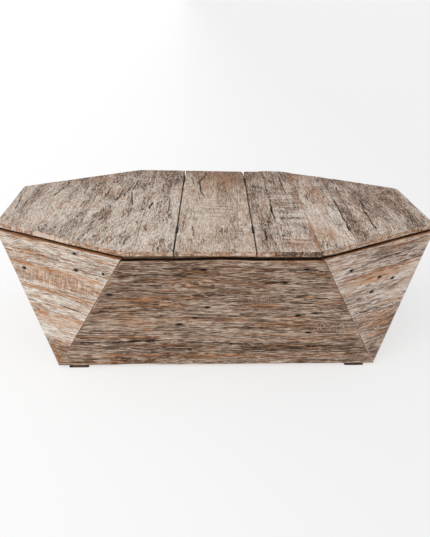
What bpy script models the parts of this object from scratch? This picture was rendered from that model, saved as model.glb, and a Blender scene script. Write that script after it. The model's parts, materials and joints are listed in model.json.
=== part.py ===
"""Eight-cornered storage chest of reclaimed boards, with a fixed middle plank and two hinged lids.

The origin is on the floor under the centre of the chest. +X runs along its length to the right, +Y to the back
and +Z up. All lengths are in metres. The top of the walls is an octagon and their foot is a rectangle, so each
chamfered corner is a triangle that runs down to a point.
"""

import math

import bmesh
import bpy
from mathutils import Matrix, Vector

# Whole chest
LENGTH = 1.270
DEPTH = 0.762
LID_TOP = 0.406
LID_THICKNESS = 0.014
SHADOW_GAP = 0.009  # open line between the lids and the walls
FOOT_HEIGHT = 0.008
LID_BOTTOM = LID_TOP - LID_THICKNESS
WALL_TOP = LID_BOTTOM - SHADOW_GAP

# Walls: the chamfers take a third of each side at the top, and the walls lean in towards the foot
CHAMFER_ALONG_X = 0.371
CHAMFER_ALONG_Y = 0.209
END_LEAN = 0.169
FRONT_LEAN = 0.080
BOARD_THICKNESS = 0.020
FLOOR_THICKNESS = 0.018
RAIL_THICKNESS = 0.025
RAIL_HEIGHT = 0.050

# Heights of the joints between the boards of each wall, on its outer face
COURSE_JOINTS = {
    "front": (0.267, 0.190, 0.117),
    "right_front_corner": (0.313, 0.260, 0.183),
    "right_end": (0.262, 0.140),
    "right_back_corner": (0.290, 0.185),
    "back": (0.270, 0.150),
    "left_back_corner": (0.285, 0.180),
    "left_end": (0.256, 0.146),
    "left_front_corner": (0.311, 0.246, 0.175),
}
RAILED_WALLS = ("front", "right_end", "back", "left_end")

# Middle plank and lids: the seams lean towards +X at the back, and their places are given at mid depth
SEAM_SKEW = math.radians(2.45)
SEAM_X = {"left": -0.1116, "right": 0.1026}
SEAM_GAP = 0.0036
LID_JOINTS_X = {"left": (-0.215, -0.385), "right": (0.172, 0.271, 0.378)}
WORN_CORNER_LENGTH = 0.045
WORN_CORNER_WIDTH = 0.006
BATTEN_WIDTH = 0.040
BATTEN_THICKNESS = 0.018
BATTEN_Y = {"front": -0.160, "back": 0.160}
BATTEN_END_X = 0.550
BATTEN_FROM_SEAM = 0.040

# Butt hinges, with their pins at the level of the lids' top
HINGE_Y = {"front": -0.224, "back": 0.252}
HINGE_LENGTH = 0.050
LEAF_THICKNESS = 0.0013
LEAF_TOP = -0.0030
LEAF_BOTTOM = -0.0126
LEAF_OFFSET = 0.0002
KNUCKLE_RADIUS = 0.0024
BORE_RADIUS = 0.00135
PIN_RADIUS = 0.00105
NECK_TOP = -0.0016
NECK_OVERLAP = 0.0002
SCREW_HOLE_RADIUS = 0.0014
SCREW_HOLE_SPREAD = 0.030
RECESS_DEPTH = 0.0030
RECESS_WIDTH = {"plank": 0.0048, "lid": 0.0030}
ROUND_SIDES = 12
HOLE_SIDES = 8

# Feet
FOOT_SIDE = 0.057
FOOT_X = 0.408
FOOT_Y = 0.2715
FOOT_EDGE = 0.002

CLEARANCE = 0.0003  # between pieces that touch
BLOCK_SIDE = 2.0  # larger than the chest every way
UP = Vector((0.0, 0.0, 1.0))

RING = [
    Vector((x, y, WALL_TOP))
    for x, y in (
        (-LENGTH / 2 + CHAMFER_ALONG_X, -DEPTH / 2),
        (LENGTH / 2 - CHAMFER_ALONG_X, -DEPTH / 2),
        (LENGTH / 2, -DEPTH / 2 + CHAMFER_ALONG_Y),
        (LENGTH / 2, DEPTH / 2 - CHAMFER_ALONG_Y),
        (LENGTH / 2 - CHAMFER_ALONG_X, DEPTH / 2),
        (-LENGTH / 2 + CHAMFER_ALONG_X, DEPTH / 2),
        (-LENGTH / 2, DEPTH / 2 - CHAMFER_ALONG_Y),
        (-LENGTH / 2, -DEPTH / 2 + CHAMFER_ALONG_Y),
    )
]
BASE_X = LENGTH / 2 - END_LEAN
BASE_Y = DEPTH / 2 - FRONT_LEAN
BASE = [
    Vector((x * BASE_X, y * BASE_Y, FOOT_HEIGHT)) for x, y in ((-1, -1), (1, -1), (1, 1), (-1, 1))
]
WALLS = list(COURSE_JOINTS)  # in the order of RING: wall i runs from corner i to corner i + 1


def clear_scene():
    for obj in list(bpy.data.objects):
        bpy.data.objects.remove(obj, do_unlink=True)


def new_collection(name, hidden=False):
    collection = bpy.data.collections.new(name)
    collection.hide_render = hidden
    bpy.context.scene.collection.children.link(collection)
    return collection


def new_material(name, colour, roughness, metallic=0.0):
    material = bpy.data.materials.new(name)
    material.use_nodes = True
    shader = material.node_tree.nodes["Principled BSDF"]
    shader.inputs["Base Color"].default_value = (*colour, 1.0)
    shader.inputs["Roughness"].default_value = roughness
    shader.inputs["Metallic"].default_value = metallic
    material.diffuse_color = (*colour, 1.0)
    return material


def new_object(name, mesh, material, parent=None):
    """Places a mesh made in world coordinates, under a parent empty if one is given."""
    obj = bpy.data.objects.new(name, mesh)
    parts.objects.link(obj)
    mesh.materials.clear()
    mesh.materials.append(material)
    if parent:
        mesh.transform(parent.matrix_basis.inverted())
        obj.parent = parent
    return obj


def mesh_from(shape, name):
    bmesh.ops.recalc_face_normals(shape, faces=shape.faces)
    mesh = bpy.data.meshes.new(name)
    shape.to_mesh(mesh)
    shape.free()
    return mesh


def box_mesh(name, low, high, matrix=Matrix.Identity(4)):
    """A box between two corners of the matrix's own frame."""
    low, high = Vector(low), Vector(high)
    shape = bmesh.new()
    size = Matrix.Diagonal((*(high - low), 1.0))
    bmesh.ops.create_cube(shape, size=1.0, matrix=matrix @ Matrix.Translation((low + high) / 2) @ size)
    return mesh_from(shape, name)


def rod_mesh(name, radius, sides, start, end, matrix=Matrix.Identity(4)):
    """A cylinder between two points of the matrix's own frame."""
    start, end = Vector(start), Vector(end)
    along = end - start
    shape = bmesh.new()
    place = Matrix.Translation((start + end) / 2) @ along.to_track_quat("Z", "Y").to_matrix().to_4x4()
    bmesh.ops.create_cone(
        shape, cap_ends=True, segments=sides, radius1=radius, radius2=radius, depth=along.length,
        matrix=matrix @ place,
    )
    return mesh_from(shape, name)


def sawn_mesh(name, cuts):
    """A board sawn from a block: each cut is a point and a direction, and what lies past it is removed."""
    shape = bmesh.new()
    bmesh.ops.create_cube(shape, size=BLOCK_SIDE)
    for point, direction in cuts:
        cut = bmesh.ops.bisect_plane(
            shape, geom=shape.verts[:] + shape.edges[:] + shape.faces[:], dist=1e-7,
            plane_co=point, plane_no=direction, clear_outer=True,
        )
        rim = [edge for edge in cut["geom_cut"] if isinstance(edge, bmesh.types.BMEdge)]
        if rim:
            bmesh.ops.edgeloop_fill(shape, edges=rim)
    bmesh.ops.remove_doubles(shape, verts=shape.verts, dist=1e-6)
    return mesh_from(shape, name)


def cutter(mesh):
    obj = bpy.data.objects.new(mesh.name, mesh)
    cutters.objects.link(obj)
    obj.display_type = "WIRE"
    obj.hide_render = True
    return obj


def add_boolean(obj, operation, mesh, parent=None):
    helper = cutter(mesh)
    if parent:
        mesh.transform(parent.matrix_basis.inverted())
        helper.parent = parent
    boolean = obj.modifiers.new(mesh.name, "BOOLEAN")
    boolean.operation = operation
    boolean.solver = "EXACT"
    boolean.object = helper


# Walls


def base_corner(i):
    """The foot corner that the arris from top corner i runs down to."""
    return BASE[(i + 1) // 2 % 4]


def wall_normal(i):
    i %= len(WALLS)
    edge = RING[(i + 1) % len(RING)] - RING[i]
    return (base_corner(i) - RING[i]).cross(edge).normalized()


def mitre_cuts(i, gap=CLEARANCE):
    """Cuts that bring wall i to its mitres with the walls on each side, and past a corner with the wall beyond it."""
    own = wall_normal(i)
    cuts = []
    for other, corner in ((i - 1, i), (i + 1, i + 1)):
        across = (wall_normal(other) - own).normalized()
        cuts.append((base_corner(corner) - across * gap / 2, across))
    if WALLS[i] in RAILED_WALLS:
        for other, corner in ((i - 2, i), (i + 2, i + 1)):
            across = (wall_normal(other) - own).normalized()
            cuts.append((base_corner(corner) - across * gap / 2, across))
    return cuts


def slab_cuts(i, outer, inner):
    """Cuts at two depths behind the outer face of wall i."""
    normal = wall_normal(i)
    return [(RING[i] - normal * outer, normal), (RING[i] - normal * inner, -normal)]


def build_wall(i):
    name = WALLS[i]
    normal = wall_normal(i)
    rise = normal.cross(RING[(i + 1) % len(RING)] - RING[i]).normalized()
    shared = slab_cuts(i, 0.0, BOARD_THICKNESS) + mitre_cuts(i)
    joints = [RING[i] + rise * ((height - WALL_TOP) / rise.z) for height in COURSE_JOINTS[name]]
    tops = [(RING[i], UP)] + [(point - rise * CLEARANCE / 2, rise) for point in joints]
    bottoms = [(point + rise * CLEARANCE / 2, -rise) for point in joints] + [(BASE[0], -UP)]
    material = materials["corner_wood" if "corner" in name else "wall_wood"]
    for number, (top, bottom) in enumerate(zip(tops, bottoms), start=1):
        node = f"{name}_board_{number}"
        new_object(node, sawn_mesh(node, shared + [top, bottom]), material)


def build_rail(i):
    """A ledger rail inside the top of a wall, which stands above it and carries the lids."""
    node = f"{WALLS[i]}_ledger_rail"
    top = LID_BOTTOM - CLEARANCE
    cuts = slab_cuts(i, BOARD_THICKNESS + CLEARANCE, BOARD_THICKNESS + RAIL_THICKNESS)
    cuts += mitre_cuts(i)
    cuts += [(UP * top, UP), (UP * (top - RAIL_HEIGHT), -UP)]
    new_object(node, sawn_mesh(node, cuts), materials["inner_wood"])


def build_floor():
    cuts = [(UP * (FOOT_HEIGHT + FLOOR_THICKNESS), UP), (UP * FOOT_HEIGHT, -UP)]
    for i in range(len(WALLS)):
        cuts.append(slab_cuts(i, BOARD_THICKNESS + CLEARANCE, BLOCK_SIDE)[0])
    new_object("floor_panel", sawn_mesh("floor_panel", cuts), materials["inner_wood"])


def build_feet():
    for side, x in (("left", -FOOT_X), ("right", FOOT_X)):
        for end, y in (("front", -FOOT_Y), ("back", FOOT_Y)):
            node = f"{side}_{end}_foot"
            half = FOOT_SIDE / 2
            mesh = box_mesh(node, (-half, -half, 0.0), (half, half, FOOT_HEIGHT - CLEARANCE))
            foot = new_object(node, mesh, materials["foot_pad"])
            foot.location = (x, y, 0.0)
            bevel = foot.modifiers.new("worn_edges", "BEVEL")
            bevel.width = FOOT_EDGE
            bevel.segments = 2


# Top


def seam_frame(side):
    """The frame of a hinge line: its origin at mid depth and lid-top level, with Y along the seam."""
    return Matrix.Translation((SEAM_X[side], 0.0, LID_TOP)) @ Matrix.Rotation(-SEAM_SKEW, 4, "Z")


def along_seam(x, away):
    """A cut through x at mid depth, parallel to the seams, that removes the side that away (1 or -1) points to."""
    across = Matrix.Rotation(-SEAM_SKEW, 3, "Z") @ Vector((away, 0.0, 0.0))
    return (Vector((x, 0.0, 0.0)), across)


def shifted(cut, distance):
    """The same cut moved so that it removes that much less."""
    point, direction = cut
    return (point + direction * distance, direction)


def top_cuts():
    """Cuts that every board of the top shares: its two faces and the octagon's outline."""
    cuts = [(UP * LID_TOP, UP), (UP * LID_BOTTOM, -UP)]
    for i, corner in enumerate(RING):
        edge = RING[(i + 1) % len(RING)] - corner
        cuts.append((corner, edge.cross(UP)))
    return cuts


def hinge_recess(side, end, piece):
    """The space for one hinge's barrel in the top arris of the plank or of a lid."""
    outward = 1.0 if side == "right" else -1.0
    toward = -outward if piece == "plank" else outward
    half = HINGE_LENGTH / 2 + CLEARANCE
    low = (min(0.0, toward * RECESS_WIDTH[piece]), HINGE_Y[end] - half, -RECESS_DEPTH)
    high = (max(0.0, toward * RECESS_WIDTH[piece]), HINGE_Y[end] + half, RECESS_DEPTH)
    return box_mesh(f"{side}_{end}_hinge_recess_in_{piece}", low, high, seam_frame(side))


def build_plank():
    cuts = top_cuts()
    cuts.append(shifted(along_seam(SEAM_X["left"], -1), -SEAM_GAP / 2))
    cuts.append(shifted(along_seam(SEAM_X["right"], 1), -SEAM_GAP / 2))
    corner = seam_frame("right") @ Vector((-SEAM_GAP / 2, DEPTH / 2, 0.0))
    worn = Vector((WORN_CORNER_LENGTH, WORN_CORNER_WIDTH, 0.0)).normalized()
    cuts.append((corner - Vector((0.0, WORN_CORNER_LENGTH, 0.0)), worn))
    plank = new_object("middle_plank", sawn_mesh("middle_plank", cuts), materials["plank_wood"])
    for side in SEAM_X:
        for end in HINGE_Y:
            add_boolean(plank, "DIFFERENCE", hinge_recess(side, end, "plank"))


def build_lid(side):
    away = 1 if side == "right" else -1
    axis = bpy.data.objects.new(f"{side}_lid_axis", None)
    axis.matrix_basis = seam_frame(side)
    parts.objects.link(axis)
    seam = shifted(along_seam(SEAM_X[side], -away), -SEAM_GAP / 2)
    joints = [along_seam(x, -away) for x in LID_JOINTS_X[side]]
    starts = [seam] + [shifted(cut, -CLEARANCE / 2) for cut in joints]
    ends = [(point, -direction) for point, direction in joints]
    for number, start in enumerate(starts, start=1):
        cuts = top_cuts() + [start]
        cuts += [shifted(cut, -CLEARANCE / 2) for cut in ends[number - 1:number]]
        node = f"{side}_lid_board_{number}"
        board = new_object(node, sawn_mesh(node, cuts), materials["lid_wood"], axis)
        if number == 1:
            for end in HINGE_Y:
                add_boolean(board, "DIFFERENCE", hinge_recess(side, end, "lid"), axis)
    build_battens(side, away, axis)
    return axis


def build_battens(side, away, axis):
    for end, y in BATTEN_Y.items():
        node = f"{side}_lid_{end}_batten"
        near = SEAM_X[side] + away * BATTEN_FROM_SEAM
        far = away * BATTEN_END_X
        top = LID_BOTTOM - CLEARANCE
        low = (min(near, far), y - BATTEN_WIDTH / 2, top - BATTEN_THICKNESS)
        high = (max(near, far), y + BATTEN_WIDTH / 2, top)
        new_object(node, box_mesh(node, low, high), materials["inner_wood"], axis)


# Hinges, in a frame whose Y is the pin's line; the lid's leaf is on the +X side


def knuckle_spans(piece):
    """The stretches of the barrel that belong to a leaf: the two outer thirds, or the middle one."""
    third = HINGE_LENGTH / 3
    starts = (-1.5 * third, 0.5 * third) if piece == "plank" else (-0.5 * third,)
    return [(start + CLEARANCE / 2, start + third - CLEARANCE / 2) for start in starts]


def build_leaf_mesh(piece):
    """A leaf with its knuckles and two screw holes, used by all four hinges."""
    toward = -1.0 if piece == "plank" else 1.0
    near, far = sorted((toward * LEAF_OFFSET, toward * (LEAF_OFFSET + LEAF_THICKNESS)))
    half = HINGE_LENGTH / 2
    plate = box_mesh(f"{piece}_leaf", (near, -half, LEAF_BOTTOM), (far, half, LEAF_TOP))
    leaf = cutter(plate)
    leaf.name = f"{piece}_leaf_pattern"
    for number, (start, end) in enumerate(knuckle_spans(piece)):
        neck = box_mesh(
            f"{piece}_neck_{number}", (near, start, LEAF_TOP - NECK_OVERLAP), (far, end, NECK_TOP)
        )
        add_boolean(leaf, "UNION", neck)
        barrel = rod_mesh(
            f"{piece}_knuckle_{number}", KNUCKLE_RADIUS, ROUND_SIDES, (0.0, start, 0.0), (0.0, end, 0.0)
        )
        add_boolean(leaf, "UNION", barrel)
    bore = rod_mesh(
        f"{piece}_bore", BORE_RADIUS, ROUND_SIDES, (0.0, -HINGE_LENGTH, 0.0), (0.0, HINGE_LENGTH, 0.0)
    )
    add_boolean(leaf, "DIFFERENCE", bore)
    for y in (-SCREW_HOLE_SPREAD / 2, SCREW_HOLE_SPREAD / 2):
        middle = (LEAF_TOP + LEAF_BOTTOM) / 2
        reach = HINGE_LENGTH / 2
        hole = rod_mesh(
            f"{piece}_screw_hole_{y:+.3f}", SCREW_HOLE_RADIUS, HOLE_SIDES,
            (-reach, y, middle), (reach, y, middle),
        )
        add_boolean(leaf, "DIFFERENCE", hole)
    graph = bpy.context.evaluated_depsgraph_get()
    return bpy.data.meshes.new_from_object(leaf.evaluated_get(graph))


def build_hinge(side, end, leaves, axis):
    turn = Matrix.Rotation(0.0 if side == "right" else math.pi, 4, "Z")
    place = seam_frame(side) @ Matrix.Translation((0.0, HINGE_Y[end], 0.0)) @ turn
    for piece in ("plank", "lid"):
        mesh = leaves[piece].copy()
        mesh.transform(place)
        owner = axis if piece == "lid" else None
        leaf = new_object(f"{side}_{end}_hinge_{piece}_leaf", mesh, materials["hinge_steel"], owner)
        leaf.data.set_sharp_from_angle(angle=math.radians(40))
    half = HINGE_LENGTH / 2
    node = f"{side}_{end}_hinge_pin"
    pin = rod_mesh(node, PIN_RADIUS, ROUND_SIDES, (0.0, -half, 0.0), (0.0, half, 0.0), place)
    new_object(node, pin, materials["hinge_steel"])


clear_scene()
parts = new_collection("wooden_chest")
cutters = new_collection("cutters", hidden=True)
materials = {
    "wall_wood": new_material("wall_wood", (0.24, 0.17, 0.12), 0.85),
    "corner_wood": new_material("corner_wood", (0.38, 0.28, 0.20), 0.85),
    "lid_wood": new_material("lid_wood", (0.30, 0.24, 0.19), 0.85),
    "plank_wood": new_material("plank_wood", (0.36, 0.27, 0.20), 0.80),
    "inner_wood": new_material("inner_wood", (0.33, 0.23, 0.15), 0.90),
    "foot_pad": new_material("foot_pad", (0.05, 0.03, 0.02), 0.70),
    "hinge_steel": new_material("hinge_steel", (0.10, 0.09, 0.08), 0.50, 1.0),
}

for wall in range(len(WALLS)):
    build_wall(wall)
    if WALLS[wall] in RAILED_WALLS:
        build_rail(wall)
build_floor()
build_feet()
build_plank()
leaf_meshes = {piece: build_leaf_mesh(piece) for piece in ("plank", "lid")}
for lid_side in SEAM_X:
    lid_axis = build_lid(lid_side)
    for hinge_end in HINGE_Y:
        build_hinge(lid_side, hinge_end, leaf_meshes, lid_axis)
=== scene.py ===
"""Looks of the wooden chest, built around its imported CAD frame.

Every board of the walls and the top is rebuilt here as a worn, split and weathered board in the exact place of its
CAD node. Lengths are in metres, in the frame of the CAD: +X right, +Y back, +Z up.
"""

import json
import math

import bmesh
import bpy
import numpy as np
from mathutils import Matrix, Vector

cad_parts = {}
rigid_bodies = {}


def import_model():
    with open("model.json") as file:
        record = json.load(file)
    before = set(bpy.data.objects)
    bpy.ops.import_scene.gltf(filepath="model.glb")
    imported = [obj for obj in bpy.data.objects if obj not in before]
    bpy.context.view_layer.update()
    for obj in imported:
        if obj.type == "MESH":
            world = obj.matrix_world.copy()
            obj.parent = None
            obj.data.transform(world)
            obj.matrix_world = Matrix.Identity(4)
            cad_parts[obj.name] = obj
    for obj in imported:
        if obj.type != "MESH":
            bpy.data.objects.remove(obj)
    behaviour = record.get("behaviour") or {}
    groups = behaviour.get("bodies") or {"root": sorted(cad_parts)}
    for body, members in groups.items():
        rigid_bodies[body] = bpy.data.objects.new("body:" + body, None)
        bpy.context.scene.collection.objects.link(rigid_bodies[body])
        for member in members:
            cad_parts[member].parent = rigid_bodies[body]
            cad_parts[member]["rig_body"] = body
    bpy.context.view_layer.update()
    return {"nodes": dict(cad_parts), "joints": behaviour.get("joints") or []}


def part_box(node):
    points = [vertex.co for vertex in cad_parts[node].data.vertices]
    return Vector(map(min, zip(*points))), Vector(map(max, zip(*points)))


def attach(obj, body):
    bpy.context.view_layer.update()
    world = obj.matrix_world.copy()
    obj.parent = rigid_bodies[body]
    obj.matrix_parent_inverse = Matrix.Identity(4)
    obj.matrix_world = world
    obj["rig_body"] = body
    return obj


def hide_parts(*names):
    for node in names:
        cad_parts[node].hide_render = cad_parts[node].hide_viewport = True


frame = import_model()

WELD = 1e-5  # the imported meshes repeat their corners
ON_PLANE = 1e-4
UP = Vector((0.0, 0.0, 1.0))
LID_SIDES = ("left", "right")
TOP_NODES = [node for node in frame["nodes"] if "lid_board" in node or node == "middle_plank"]
WALL_NODES = [node for node in frame["nodes"] if "_board_" in node and node not in TOP_NODES]


# Noise


def lattice(cells, seed):
    """A repeatable random number from -1 to 1 for each whole-numbered cell."""
    x, y, z = (cells[..., k].astype(np.uint64) for k in range(3))
    mixed = x * np.uint64(73856093) ^ y * np.uint64(19349663) ^ z * np.uint64(83492791)
    mixed ^= np.uint64(seed * 2654435761 % 2**32)
    mixed = (mixed ^ (mixed >> np.uint64(13))) * np.uint64(1274126177)
    mixed = (mixed ^ (mixed >> np.uint64(16))) & np.uint64(0xFFFFFF)
    return mixed.astype(float) / 0x7FFFFF - 1.0


def noise(points, seed=0):
    """Smooth value noise from -1 to 1 at each point of an (n, 3) array."""
    cell = np.floor(points)
    t = points - cell
    t = t * t * (3.0 - 2.0 * t)
    cell = cell.astype(np.int64) + 2**20
    total = np.zeros(len(points))
    for corner in np.ndindex(2, 2, 2):
        offset = np.array(corner)
        weight = np.prod(np.where(offset, t, 1.0 - t), axis=1)
        total += weight * lattice(cell + offset, seed)
    return total


def fractal(points, seed=0, octaves=3):
    total = np.zeros(len(points))
    for octave in range(octaves):
        total += noise(points * 2.0**octave, seed + octave) / 2.0**octave
    return total / (2.0 - 2.0 ** (1 - octaves))


def smooth_step(low, high, values):
    t = np.clip((values - low) / (high - low), 0.0, 1.0)
    return t * t * (3.0 - 2.0 * t)


# Board geometry


def node_corners(node):
    return np.array([vert.co for vert in frame["nodes"][node].data.vertices])


def face_mates(node):
    """The nodes whose boards make one face of the chest together with this one."""
    if node in TOP_NODES:
        return TOP_NODES
    wall = node.split("_board_")[0]
    return [other for other in WALL_NODES if other.split("_board_")[0] == wall]


class Side:
    """A side plane of a board: points on it have normal @ point == distance, in the board's own frame."""

    def __init__(self, normal, distance, outline):
        self.normal = normal
        self.distance = distance
        self.outline = outline  # the side is on the edge of the whole face, and isn't a joint between two boards

    def inside(self, local):
        return self.distance - local @ self.normal


class Board:
    """A CAD board in its own frame: u along the grain, v across it and w into the wood from the outer face."""

    def __init__(self, node, outward, grain):
        self.node = node
        shape = bmesh.new()
        shape.from_mesh(frame["nodes"][node].data)
        bmesh.ops.remove_doubles(shape, verts=shape.verts, dist=WELD)
        shape.normal_update()
        corners = np.array([vert.co for vert in shape.verts])
        faces = [(np.array(face.normal), np.array(face.verts[0].co)) for face in shape.faces]
        shape.free()
        self.n = np.array(outward) / np.linalg.norm(outward)
        self.u = np.array(grain) / np.linalg.norm(grain)
        self.v = np.cross(self.n, self.u)
        self.axes = np.array([self.u, self.v, -self.n])
        self.origin = self.n * (corners @ self.n).max()
        local = (corners - self.origin) @ self.axes.T
        self.thickness = local[:, 2].max()
        self.sides = self.find_sides(faces, corners)
        outer = local[local[:, 2] < ON_PLANE]
        inner = local[local[:, 2] > self.thickness - ON_PLANE]
        self.v_low = (outer[:, 1].min(), inner[:, 1].min())
        self.v_high = (outer[:, 1].max(), inner[:, 1].max())
        self.kinks = outer[:, 1]
        self.length = outer[:, 0].max() - outer[:, 0].min()
        self.recesses = self.find_recesses(local)

    def find_sides(self, faces, corners):
        """The board's side planes, without those of any recess."""
        mates = np.concatenate([node_corners(mate) for mate in face_mates(self.node)])
        found = []
        for normal, point in faces:
            beyond = ((corners - point) @ normal).max()
            if abs(normal @ self.n) > 0.999 or beyond > ON_PLANE:
                continue
            local = self.axes @ normal
            distance = local @ (self.axes @ (point - self.origin))
            outline = ((mates - point) @ normal).max() < ON_PLANE
            if all(np.abs(local - side.normal).max() > 1e-3 for side in found):
                found.append(Side(local, distance, outline))
        return found

    def find_recesses(self, local):
        """Each hinge recess as its lowest and highest u, v and its depth, from the corners of its floor."""
        floor = local[(local[:, 2] > ON_PLANE) & (local[:, 2] < self.thickness - ON_PLANE)]
        found = []
        while len(floor):
            near = np.linalg.norm(floor[:, :2] - floor[0, :2], axis=1) < 0.07
            low, high = floor[near].min(axis=0), floor[near].max(axis=0)
            found.append((low[:2], high[:2], high[2]))
            floor = floor[~near]
        return found

    def ends(self, v, w):
        """Where the grain starts and stops at each place across the board."""
        low = np.full(v.shape, -np.inf)
        high = np.full(v.shape, np.inf)
        for side in self.sides:
            along, across, inward = side.normal
            if abs(along) < 1e-3:
                continue
            reach = (side.distance - across * v - inward * w) / along
            if along > 0:
                high = np.minimum(high, reach)
            else:
                low = np.maximum(low, reach)
        middle = (low + high) / 2
        return np.minimum(low, middle), np.maximum(high, middle)

    def place(self, s, r, w):
        """Points at shares s along the grain and r across it, at depth w."""
        share = w / self.thickness
        v_low = self.v_low[0] + (self.v_low[1] - self.v_low[0]) * share
        v_high = self.v_high[0] + (self.v_high[1] - self.v_high[0]) * share
        v = v_low + (v_high - v_low) * r
        low, high = self.ends(v, w)
        return np.stack([low + (high - low) * s, v, w], axis=-1)

    def to_world(self, local):
        return self.origin + local @ self.axes

    def edge_distance(self, local, outline_only=False):
        """Distance of each point to the nearest side."""
        found = np.full(len(local), np.inf)
        for side in self.sides:
            if side.outline or not outline_only:
                found = np.minimum(found, side.inside(local))
        return found


EDGE_STEPS = (0.0, 0.0007, 0.0016, 0.0030, 0.0052)
DEPTH_STEPS = (0.0008, 0.0018, 0.0033, 0.0055, 0.0085)
RECESS_WALL = 0.0004  # how far a recess wall leans
INNER_FACE = 0.992  # size of the inner face inside its rim, which keeps the marks of the sides off it


def shares(length, step, extra=()):
    """Sample shares from 0 to 1 over a length, closer together near both ends, with the extra ones among them."""
    near = np.array([d for d in EDGE_STEPS if d < length / 3]) / length
    count = max(2, int(round((length - 2 * near[-1] * length) / step)))
    middle = np.linspace(near[-1], 1.0 - near[-1], count + 1)
    found = np.concatenate([near, middle, 1.0 - near, np.array(extra, float)])
    found = np.unique(np.round(found, 6))
    closest = 0.3 * EDGE_STEPS[1] / length
    kept = [0.0]
    for share in found[1:-1]:
        if share - kept[-1] > closest and 1.0 - share > closest:
            kept.append(share)
    return np.array(kept + [1.0])


def recess_lines(board, width):
    """Extra sample shares along and across the board at the walls of its recesses."""
    along, across = [], []
    for low, high, _ in board.recesses:
        start, end = board.ends(np.array([(low[1] + high[1]) / 2]), np.array([0.0]))
        for u in (low[0], low[0] + RECESS_WALL, high[0] - RECESS_WALL, high[0]):
            along.append((u - start[0]) / (end[0] - start[0]))
        for v in (low[1], low[1] + RECESS_WALL, high[1] - RECESS_WALL, high[1]):
            across.append((v - board.v_low[0]) / width)
    inner = [share for share in across if 0.001 < share < 0.999]
    return along, inner


def sink_recesses(board, local):
    """Lowers the points over each hinge recess to its floor, and says which they are."""
    sunk = np.zeros(len(local), bool)
    sides = (board.v_low[0] + ON_PLANE, board.v_high[0] - ON_PLANE)
    for low, high, depth in board.recesses:
        u, v = local[:, 0], local[:, 1]
        over = (u > low[0] + RECESS_WALL / 2) & (u < high[0] - RECESS_WALL / 2)
        over &= (v > low[1] + RECESS_WALL / 2) | (low[1] < sides[0])
        over &= (v < high[1] - RECESS_WALL / 2) | (high[1] > sides[1])
        local[over, 2] = np.maximum(local[over, 2], depth + 0.03 * local[over, 2])
        sunk |= over
    return sunk


def shell(board, along, across):
    """Points in the board's own frame and faces of a closed shell: a fine grid outside, one face and its rim inside."""
    width = board.v_high[0] - board.v_low[0]
    kinks = (board.kinks - board.v_low[0]) / width
    extra_s, extra_r = recess_lines(board, width)
    s = shares(board.length, along, extra_s)
    r = shares(width, across, list(kinks[(kinks > 0.001) & (kinks < 0.999)]) + extra_r)
    ns, nr = len(s), len(r)
    grid_s, grid_r = (grid.ravel() for grid in np.meshgrid(s, r, indexing="ij"))
    index = np.arange(ns * nr).reshape(ns, nr)
    quads = np.stack([index[:-1, :-1], index[1:, :-1], index[1:, 1:], index[:-1, 1:]], axis=-1).reshape(-1, 4)
    rim = np.concatenate([index[:-1, 0], index[-1, :-1], index[:0:-1, -1], index[0, :0:-1]])
    points = [board.place(grid_s, grid_r, np.zeros(ns * nr))]
    faces = quads.tolist()
    depths = [d for d in DEPTH_STEPS if d < board.thickness - 0.002] + [board.thickness - 0.001, board.thickness]
    rings = [rim]
    for depth in depths:
        rings.append(np.arange(len(rim)) + sum(map(len, points)))
        points.append(board.place(grid_s[rim], grid_r[rim], np.full(len(rim), depth)))
    rings.append(rings[-1] + len(rim))
    middle = points[-1].mean(axis=0)
    points.append(middle + (points[-1] - middle) * INNER_FACE)
    for upper, lower in zip(rings, rings[1:]):
        faces += np.stack([upper, lower, np.roll(lower, -1), np.roll(upper, -1)], axis=-1).tolist()
    faces.append(rings[-1][::-1].tolist())
    return np.concatenate(points), faces


def round_arrises(board, local, radius):
    """Rounds the arrises between the outer face and the sides; radius has a value for each point."""
    for side in board.sides:
        reach = radius if side.outline else radius * JOINT_SHARPNESS
        a, b = side.inside(local) - reach, local[:, 2] - reach
        far = np.hypot(a, b)
        out = (a < 0) & (b < 0) & (far > reach)
        scale = np.where(out, reach / np.maximum(far, 1e-9), 1.0)
        local -= ((a * scale - a) * out)[:, None] * side.normal
        local[:, 2] += (b * scale - b) * out


def round_corners(board, local, radius):
    """Rounds the corners of the outline, seen from outside."""
    outline = [side for side in board.sides if side.outline]
    for number, first in enumerate(outline):
        for second in outline[number + 1:]:
            turn = first.normal @ second.normal
            if abs(turn) > 0.97:
                continue
            a, b = first.inside(local) - radius, second.inside(local) - radius
            far = np.hypot(a, b)
            out = (a < 0) & (b < 0) & (far > radius)
            scale = np.where(out, radius / np.maximum(far, 1e-9), 1.0)
            toward_first = (first.normal - turn * second.normal) / (1.0 - turn**2)
            toward_second = (second.normal - turn * first.normal) / (1.0 - turn**2)
            local -= ((a * scale - a) * out)[:, None] * toward_first
            local -= ((b * scale - b) * out)[:, None] * toward_second


def waver_outline(board, local, inward, rims_only=False):
    """Moves the outline in by a value for each point, fading out over a strip along it; a rim is a wall's top."""
    for side in board.sides:
        if side.outline and (side.normal[1] > 0.5 or not rims_only):
            fade = 1.0 - smooth_step(0.0, 0.035, side.inside(local))
            local -= (inward * fade)[:, None] * side.normal


# Marks that single boards carry. Places are (x, y) on the top and (x, z) on a wall.

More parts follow.
